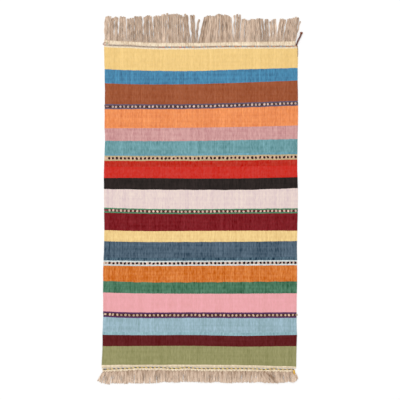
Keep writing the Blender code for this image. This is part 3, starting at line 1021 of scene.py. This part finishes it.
topClumps = [
    (-492.5, -468.8, -491.5, -462.6, 976, 977, 3, 1.0, -5.0),
    (-464.7, -427.6, -454.9, -427.6, 973, 976, 4, 1.0, -1.5),
    (-423.5, -381.2, -413.7, -387.4, 977, 975, 4, 1.0, -1.0),
    (-378.2, -346.2, -378.2, -344.2, 967, 973, 3, 1.0, -1.5),
    (-336.9, -300.9, -339.0, -305.0, 978, 979, 4, 1.0, 1.0),
    (-291.6, -243.2, -290.6, -254.5, 979, 980, 5, 1.0, 0.0),
    (-234.9, -200.9, -242.1, -204.0, 978, 984, 4, 1.0, 0.0),
    (-198.9, -185.5, -200.9, -182.4, 986, 990, 2, 1.0, 1.0),
    (-178.3, -168.0, -179.3, -165.9, 991, 992, 1, 1.0, 1.0),
    (-162.8, -140.1, -163.3, -139.1, 990, 991, 3, 1.0, -1.0),
    (-132.9, -88.6, -135.0, -85.5, 990, 980, 5, 1.0, 1.0),
    (-67.0, -50.5, -80.4, -67.0, 992, 984, 2, 1.0, 0.0),
    (-45.3, -25.8, -54.6, -31.9, 983, 981, 2, 1.0, 1.0),
    (-24.7, -15.5, -12.4, -3.6, 960, 962, 1, 2.6, 0.0),
    (-9.3, 53.6, 20.6, 67.0, 978, 982, 7, 1.0, 0.0),
    (54.6, 112.3, 68.0, 115.4, 983, 989, 6, 1.0, 0.0),
    (113.3, 163.8, 116.4, 155.6, 989, 978, 6, 1.0, 0.0),
    (172.1, 197.8, 171.0, 208.1, 984, 985, 3, 1.0, -1.0),
    (200.9, 242.1, 213.3, 247.3, 966, 962, 4, 1.0, 0.0),
    (244.2, 293.7, 249.4, 288.5, 962, 964, 5, 1.0, 0.5),
    (297.8, 327.7, 290.6, 319.4, 967, 963, 3, 1.0, 0.5),
    (335.9, 350.3, 331.8, 346.2, 963, 964, 2, 1.0, 0.5),
    (355.5, 388.5, 356.5, 385.4, 954, 971, 4, 1.0, 2.0),
    (393.6, 422.5, 410.1, 439.0, 964, 965, 3, 1.0, -2.0),
    (427.6, 455.5, 449.2, 474.0, 965, 967, 3, 1.0, -1.5),
    (457.5, 483.3, 477.1, 507.0, 970, 971, 3, 1.0, -1.0),
    (484.8, 489.0, 511.4, 516.4, 950, 951, 1, 1.0, -0.5),
]
bottomClumps = [
    (-503.9, -488.4, -531.0, -508.5, -901, -914, 3, 1.0, -4.0),
    (-486.3, -456.5, -505.9, -463.7, -915, -919, 4, 1.0, 0.0),
    (-454.9, -375.0, -461.6, -376.0, -914, -916, 10, 1.0, 0.0),
    (-372.5, -293.1, -374.5, -294.1, -912, -915, 10, 1.0, 0.5),
    (-290.6, -200.1, -291.6, -201.1, -916, -910, 11, 1.0, -0.5),
    (-197.8, -107.2, -198.8, -106.2, -907, -910, 11, 1.0, 0.5),
    (-104.6, -24.7, -103.6, -22.7, -906, -907, 10, 1.0, 0.0),
    (-22.2, 68.5, -19.6, 69.5, -908, -910, 11, 1.0, -0.5),
    (70.6, 161.3, 72.1, 159.7, -907, -914, 11, 1.0, 0.5),
    (163.3, 254.0, 161.8, 249.4, -910, -909, 11, 1.0, 0.0),
    (256.1, 295.7, 251.4, 290.6, -912, -908, 5, 1.0, 0.0),
    (297.8, 337.2, 293.7, 347.5, -907, -910, 5, 1.0, 0.0),
    (338.5, 371.0, 350.3, 396.7, -912, -914, 4, 1.0, 0.0),
    (373.0, 440.0, 398.8, 444.2, -911, -909, 8, 1.0, 0.0),
    (441.5, 466.2, 446.2, 477.0, -908, -906, 3, 2.0, 0.0),
    (468.0, 486.0, 487.0, 503.0, -906, -889, 3, 1.5, 4.0),
]


rootLimit = 9.0  # mm that a clump widens by at most on either side at its roots


def spreadClumps(clumps, tipLimit):
    # roots of neighbouring clumps meet and their tips come closer, so that the gaps
    # close towards the band
    ends = np.array([clump[:4] for clump in clumps])
    wider = ends.copy()
    for low, high, limit in ((0, 1, rootLimit), (2, 3, tipLimit)):
        gaps = np.clip((ends[1:, low] - ends[:-1, high]) / 2, 0, limit)
        wider[1:, low] -= gaps
        wider[:-1, high] += gaps
    return [tuple(end) + clump[4:] for end, clump in zip(wider, clumps)]


def strandsOf(clumps, line, outward, values):
    # every strand with its root and tip, the pitch there, and the number of its clump; hold is
    # how far its root was moved to meet the next clump, which it keeps for much of its way
    strands = []
    wideClumps = spreadClumps(clumps, values["tipSpread"])
    for number, (clump, wideClump) in enumerate(zip(clumps, wideClumps)):
        rootFrom, rootTo, tipFrom, tipTo, reachFrom, reachTo, count, curl, bow = wideClump
        rootPitch, tipPitch = (rootTo - rootFrom) / count * mm, (tipTo - tipFrom) / count * mm
        for index in range(count):
            share = (index + 0.5) / count
            across = rootFrom * mm + rootPitch * (index + 0.5)
            hold = across - (clump[0] + (clump[1] - clump[0]) * share) * mm
            bandEdge = lineAt(values["rootLine"], across)
            reach = (reachFrom + (reachTo - reachFrom) * share) * mm
            reach -= outward * values["rounding"] * abs(2 * share - 1) ** 3  # round clump ends
            # neighbours lean together in pairs, which leaves slits between the pairs
            lean = values["bunch"] * (0.5 + 0.5 * math.sin(number * 5.3 + index // 2 * 2.9))
            lean *= (1, -1)[index % 2] * (count > 1)
            strands.append({
                "root": (across, lineAt(line, across) + outward * bandEdge),
                "tip": (tipFrom * mm + tipPitch * (index + 0.5), reach),
                "rootPitch": rootPitch, "tipPitch": tipPitch, "curl": curl,
                "bow": bow * mm + lean, "hold": hold, "number": number})
    return strands


def strandCentre(strand, shares):
    root, tip, hold = strand["root"], strand["tip"], strand["hold"]
    held = np.clip(shares, 0.0, 1.0)
    across = root[0] + (tip[0] - root[0] + hold) * held ** strand["curl"] - hold * held**2
    across = across + strand["bow"] * np.sin(np.pi * held)
    return np.column_stack((across, root[1] + (tip[1] - root[1]) * shares))


topFringe = {
    "yarn": 2.55 * mm,
    "legPoints": 18,
    "tipPoints": 5,
    "rootInside": 5.0 * mm,
    "rootHeight": 1.3 * mm,
    "rise": 0.1,  # share of its length in which a yarn comes up out of the band
    "startYarn": 1.2 * mm,
    "rootHalf": 0.25,  # half width of a loop as a share of the pitch at root and tip
    "tipHalf": 0.24,
    "tipHalves": (1.3 * mm, 2.7 * mm),  # least and most half width of a loop
    "tipBulge": 1.15,
    "crossings": [0, 0, 1, 2],
    "crossLift": 1.6 * mm,
    "wave": 1.1 * mm,
    "waveLength": 42.0 * mm,
    "waveSpread": (0.5, 1.4),
    "waveGrowth": 2.5,
    "phaseSpread": 0.5,
    "shorten": 6.5 * mm,
    "rounding": 7.5 * mm,
    "tipSpread": 2.4,
    "bunch": 1.1 * mm,
    "thickness": (0.85, 1.08),
    "lumps": 0.05,
    "turns": 36,
    "tone": 0.05,
    "toneSpread": 0.07,
    "clumpToneSpread": 0.05,
    # painted shade: the loops are a little darker at their tips, where they turn down
    "tipShade": -0.05,
    "rootLine": bandPanels["top"]["outer"],
    "layer": 1.3 * mm,
    "underYarn": 1.25 * mm,
    "underShare": 0.5,  # of the slits between strands that have a thin yarn under them
    "underShorter": 9.0 * mm,
    "underPitches": (0.5, 0.4),  # pitch of such a yarn at root and tip, as a share
    "underReach": 14.0 * mm,  # tips further apart than this have none between them
}


def rootHeight(shares, height, values):
    # a yarn comes up out of the band at its root
    risen = shares[0] + values["rise"]
    return np.interp(shares, (shares[0], risen), (values["rootHeight"], height))


def loopRoute(strand, random, clumpPhase, low):
    # up one leg, round the loop at the tip and down the other
    values = topFringe
    length = strand["tip"][1] - strand["root"][1]
    reach = 1.0 - random.uniform(0.0, values["shorten"]) / length
    shares = np.linspace(-values["rootInside"] / length, reach, values["legPoints"])
    grow = np.clip(shares, 0, 1)
    tipHalf = np.clip(strand["tipPitch"] * values["tipHalf"], *values["tipHalves"])
    rootHalf = strand["rootPitch"] * values["rootHalf"]
    half = rootHalf + (tipHalf - rootHalf) * shares
    crossings = random.choice(values["crossings"])
    swing = half * np.cos(math.pi * crossings * grow**1.3)
    centre = strandCentre(strand, shares)
    side = -sideOf(centre)
    legs = []
    for direction in (-1, 1):
        phase = clumpPhase + random.normal(0, values["phaseSpread"])
        wave = values["wave"] * random.uniform(*values["waveSpread"])
        wave = wave * np.clip(shares * values["waveGrowth"], 0, 1)
        wave = wave * np.sin(2 * math.pi * length * shares / values["waveLength"] + phase)
        legs.append(centre + side * (wave + direction * swing)[:, None])
    left, right = legs
    low = rootHeight(shares, low, values)
    lifted = low + values["crossLift"] * np.sin(math.pi * grow) * (crossings > 0)
    turn = np.linspace(0, math.pi, values["tipPoints"] + 2)[1:-1]
    middle, across = (left[-1] + right[-1]) / 2, (left[-1] - right[-1]) / 2
    ahead = (centre[-1] - centre[-2]) / np.linalg.norm(centre[-1] - centre[-2])
    bulge = ahead * np.linalg.norm(across) * values["tipBulge"]
    arc = np.array([middle + across * math.cos(a) + bulge * math.sin(a) for a in turn])
    flat = np.concatenate((left, arc, right[::-1]))
    height = np.concatenate((low, np.linspace(low[-1], lifted[-1], len(turn)), lifted[::-1]))
    return np.column_stack((flat, height))


def underStrand(first, second, shorter):
    # a thin yarn under the slit between two strands
    root, tip = [tuple((a + b) / 2 for a, b in zip(first[end], second[end]))
                 for end in ("root", "tip")]
    tip = (tip[0], min(first["tip"][1], second["tip"][1]) - shorter)
    rootShare, tipShare = topFringe["underPitches"]
    return dict(first, root=root, tip=tip, rootPitch=first["rootPitch"] * rootShare,
                tipPitch=first["tipPitch"] * tipShare, hold=(first["hold"] + second["hold"]) / 2)


def finishFringe(name, routes, radii, tones, yarn, node):
    fringe = makeTubes(name, routes, radii, 1)
    pressFlat(fringe)
    setYarnTones(fringe.data, np.array(tones))
    fringe.data.materials.append(yarn)
    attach(fringe, "root")
    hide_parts(node)
    return fringe


def makeTopFringe():
    values = topFringe
    random = np.random.default_rng(23)
    strands = strandsOf(topClumps, topLine, 1, values)
    phases = random.uniform(0, 6.28, len(topClumps))
    clumpTones = random.normal(0, values["clumpToneSpread"], len(topClumps))
    routes, radii, tones = [], [], []

    def lay(strand, yarn, low):
        number = strand["number"]
        route = loopRoute(strand, random, phases[number], low)
        thickness = yarn * random.uniform(*values["thickness"])
        thickness = thickness * (1 + random.normal(0, values["lumps"], len(route)))
        thickness[[0, -1]] = values["startYarn"]
        routes.append(route)
        radii.append(thickness)
        tones.append(clumpTones[number] + random.normal(values["tone"], values["toneSpread"]))

    for strand in strands:
        lay(strand, values["yarn"], values["yarn"] + random.uniform(0, values["layer"]))
    for first, second in zip(strands, strands[1:]):
        apart = second["tip"][0] - first["tip"][0]
        if apart < values["underReach"] and random.uniform() < values["underShare"]:
            shorter = random.uniform(0, values["underShorter"])
            lay(underStrand(first, second, shorter), values["underYarn"], values["underYarn"])
    yarn = makeYarn("warp_yarn_top", "warp_yarn", values["turns"], values["tipShade"], looped=True)
    return finishFringe("fringe_yarns_top", routes, radii, tones, yarn, "fringe_top")


bottomFringe = {
    "yarn": 1.95 * mm,
    "points": 13,
    "yarnsEach": 4,
    "rootInside": -0.5 * mm,
    "rootHeight": 1.3 * mm,
    "rise": 0.1,
    "rootStep": 6.5 * mm,
    "rootSpread": 1.0 * mm,
    "wave": 0.8 * mm,
    "waveLength": 26.0 * mm,
    "waveSpread": (0.5, 1.5),
    "lengthSpread": (0.8, 1.3),
    "phaseSpread": 1.0,
    "height": 1.2,  # of the yarns' middle line, as a share of their thickness
    "spread": 3.5 * mm,
    "cuts": (-1.0, 0.45),  # shortest and longest cut as shares of that spread
    "rounding": 1.0 * mm,
    "tipSpread": 3.5,
    "bunch": 0.4 * mm,
    "thickness": (0.9, 1.15),
    "turns": 9,
    "tone": 0.1,
    "toneSpread": 0.1,
    # painted shade: the yarns are darker at their roots by the band and lighter at their cut tips
    "tipShade": 0.4,
    "rootLine": bandPanels["bottom"]["outer"],
    "layer": 1.6 * mm,
    "lockLift": 2.6 * mm,
    "drift": 0.8 * mm,
    "crossings": [0, 0, 1],
    "taper": ((0, 0.1, 0.85, 1), (0.7, 1, 1, 0.7)),  # places along a yarn, thickness there
}

# Locks that lie across the fringe: as the clumps, then the tone of their yarns. The second lock's
# much darker tone is painted shade of a crease across the fringe.
bottomLocks = [
    (296.0, 338.0, 322.0, 385.0, -911, -909, 5, 0.9, 4.0, -0.06),
    (326.0, 348.0, 378.0, 404.0, -908, -914, 3, 0.8, 5.0, -0.40),
    (455.0, 474.0, 468.0, 490.0, -910, -902, 4, 1.0, 15.0, 0.0),
]


def cutRoute(strand, place, random, clumpPhase, inside, lift):
    # a short cut yarn, wavier towards its end
    values = bottomFringe
    rootPitch, tipPitch = strand["rootPitch"], strand["tipPitch"]
    length = abs(strand["tip"][1] - strand["root"][1])
    reach = 1.0 + random.uniform(*values["cuts"]) * values["spread"] / length
    shares = np.linspace(-inside / length, reach, values["points"])
    pitch = rootPitch + (tipPitch - rootPitch) * shares
    centre = strandCentre(strand, shares)
    grow = np.clip(shares, 0, 1)
    wave = values["wave"] * random.uniform(*values["waveSpread"]) * grow
    waveLength = values["waveLength"] * random.uniform(*values["lengthSpread"])
    phase = clumpPhase + random.normal(0, values["phaseSpread"])
    wave = wave * np.sin(2 * math.pi * length * shares / waveLength + phase)
    drift = random.normal(0, values["drift"]) * grow**2
    crossings = random.choice(values["crossings"])
    offset = pitch * place * np.cos(math.pi * crossings * grow)
    flat = centre + sideOf(centre) * (offset + wave + drift)[:, None]
    low = values["yarn"] * values["height"] + random.uniform(0, values["layer"])
    return np.column_stack((flat, rootHeight(shares, low, values) + lift * grow))


def makeBottomFringe():
    values = bottomFringe
    random = np.random.default_rng(29)
    strands = strandsOf(bottomClumps, bottomLine, -1, values)
    layers = [(strand, 0.0, 0.0) for strand in strands]
    for lock in bottomLocks:
        for strand in strandsOf([lock[:-1]], bottomLine, -1, values):
            layers.append((strand, values["lockLift"], lock[-1]))
    phases = random.uniform(0, 6.28, len(bottomClumps))
    taper = np.interp(np.linspace(0, 1, values["points"]), *values["taper"])
    routes, radii, tones = [], [], []
    for order, (strand, lift, lockToneAndShade) in enumerate(layers):
        # every other strand leaves the band further out
        inside = values["rootInside"] + (0, values["rootStep"])[order % 2]
        inside += random.uniform(-1, 1) * values["rootSpread"]
        for index in range(values["yarnsEach"]):
            place = (index + 0.5) / values["yarnsEach"] - 0.5
            phase = phases[strand["number"]]
            routes.append(cutRoute(strand, place, random, phase, inside, lift))
            radii.append(values["yarn"] * random.uniform(*values["thickness"]) * taper)
            # a lock's tone; on the darkest lock it is painted shade
            tones.append(lockToneAndShade + random.normal(values["tone"], values["toneSpread"]))
    yarn = makeYarn("warp_yarn_bottom", "warp_yarn", values["turns"], values["tipShade"])
    return finishFringe("fringe_yarns_bottom", routes, radii, tones, yarn, "fringe_bottom")


fringeTop = makeTopFringe()
fringeBottom = makeBottomFringe()
print("kilim: fringes laid")

# Free yarn end at the top right corner, two plies twisted, ending in a knot

looseEnd = {
    "route": np.array([
        (493.4, 826.6), (494.4, 830.6), (495.5, 834.6), (496.8, 838.8), (498.3, 843.0),
        (500.1, 847.2), (502.1, 851.3), (504.2, 855.3), (506.3, 859.4), (508.4, 863.5),
        (510.4, 867.6), (512.4, 871.7), (514.3, 875.9), (516.0, 880.1), (517.3, 884.4),
    ]) * mm,
    "height": 3.2 * mm, "diameter": 6.4 * mm, "length": 62.8 * mm,
    "pitch": 15.0 * mm, "swing": 2.2 * mm, "rise": 1.5 * mm, "lift": 4.2 * mm,
    "ply": 2.65 * mm, "turns": 9,
}
knotValues = {"place": (519.2 * mm, 890.0 * mm, 5.0 * mm), "reach": 4.9 * mm, "yarn": 2.75 * mm,
              "flatness": 1.3, "turns": 8}


def makeLooseEnd():
    route, places = resample(looseEnd["route"], looseEnd["pitch"] / 12)
    routes = [twistPly(route, places, looseEnd, index / 2) for index in range(2)]
    yarn = makeTubes("loose_yarn", routes, [looseEnd["ply"]] * 2, 2)
    yarn.data.materials.append(makeYarn("brown_yarn", "brown_yarn", looseEnd["turns"]))
    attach(yarn, "root")
    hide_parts("loose_end")
    return yarn


def makeKnot():
    # a yarn wound over and under itself in three lobes
    turn = np.linspace(0, 2 * math.pi, 61)
    lobes = np.column_stack((np.sin(turn) + 2 * np.sin(2 * turn),
                             np.cos(turn) - 2 * np.cos(2 * turn),
                             -knotValues["flatness"] * np.sin(3 * turn))) / 3
    routes = [lobes * knotValues["reach"] + np.array(knotValues["place"])]
    knot = makeTubes("loose_yarn_knot", routes, [knotValues["yarn"]], 2)
    knot.data.materials.append(makeYarn("brown_knot", "knot_yarn", knotValues["turns"]))
    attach(knot, "root")
    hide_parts("loose_end_knot")
    return knot


looseYarn = makeLooseEnd()
looseKnot = makeKnot()

# Two small yarns that lie on the rug: specks of red and green at the top left corner and
# a brown thread down the right selvedge

smallYarns = {
    "corner": {
        "route": np.array([
            (-500.5, 838.5), (-496.5, 841.5), (-491.0, 842.0), (-485.5, 840.0), (-480.0, 838.8),
            (-474.5, 840.5), (-471.0, 845.0), (-471.5, 850.5), (-476.0, 853.5),
        ]) * mm,
        "pitch": 18.0 * mm, "swing": 1.0 * mm, "rise": 0.7 * mm, "lift": 4.6 * mm, "ply": 1.35 * mm,
        "dyes": [[(212, 150, 128), (168, 176, 146), (228, 184, 166)],
                 [(214, 176, 150), (186, 188, 158), (232, 206, 180)]],
        "changes": (-0.487, -0.476),
    },
    "selvedge": {
        "route": np.array([
            (497.5, 826.0), (499.8, 815.0), (500.8, 803.0), (500.4, 790.0), (500.9, 779.0),
            (499.6, 769.0),
        ]) * mm,
        "pitch": 12.0 * mm, "swing": 0.55 * mm, "rise": 0.55 * mm, "lift": 3.6 * mm,
        "ply": 0.75 * mm,
        "dyes": [[(134, 98, 74)], [(116, 84, 64)]], "changes": (),
    },
}


def makeSmallYarn(name, values):
    route, places = resample(values["route"], values["pitch"] / 10)
    plies = []
    for index, tones in enumerate(values["dyes"]):
        ply = makeTubes(name, [twistPly(route, places, values, index / 2)], [values["ply"]], 1)
        dyePly(ply, lambda across, along: np.array(
            tones[int(np.searchsorted(values["changes"], across))]))
        plies.append(ply)
    yarn = joinPieces(name, plies)
    yarn.data.materials.append(makeDyedYarn(name + "_wool", dyedYarnValues["smallTurns"]))
    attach(yarn, "root")
    return yarn


cornerYarn = makeSmallYarn("corner_yarn", smallYarns["corner"])
selvedgeThread = makeSmallYarn("selvedge_thread", smallYarns["selvedge"])
print("kilim: loose end and knot laid")
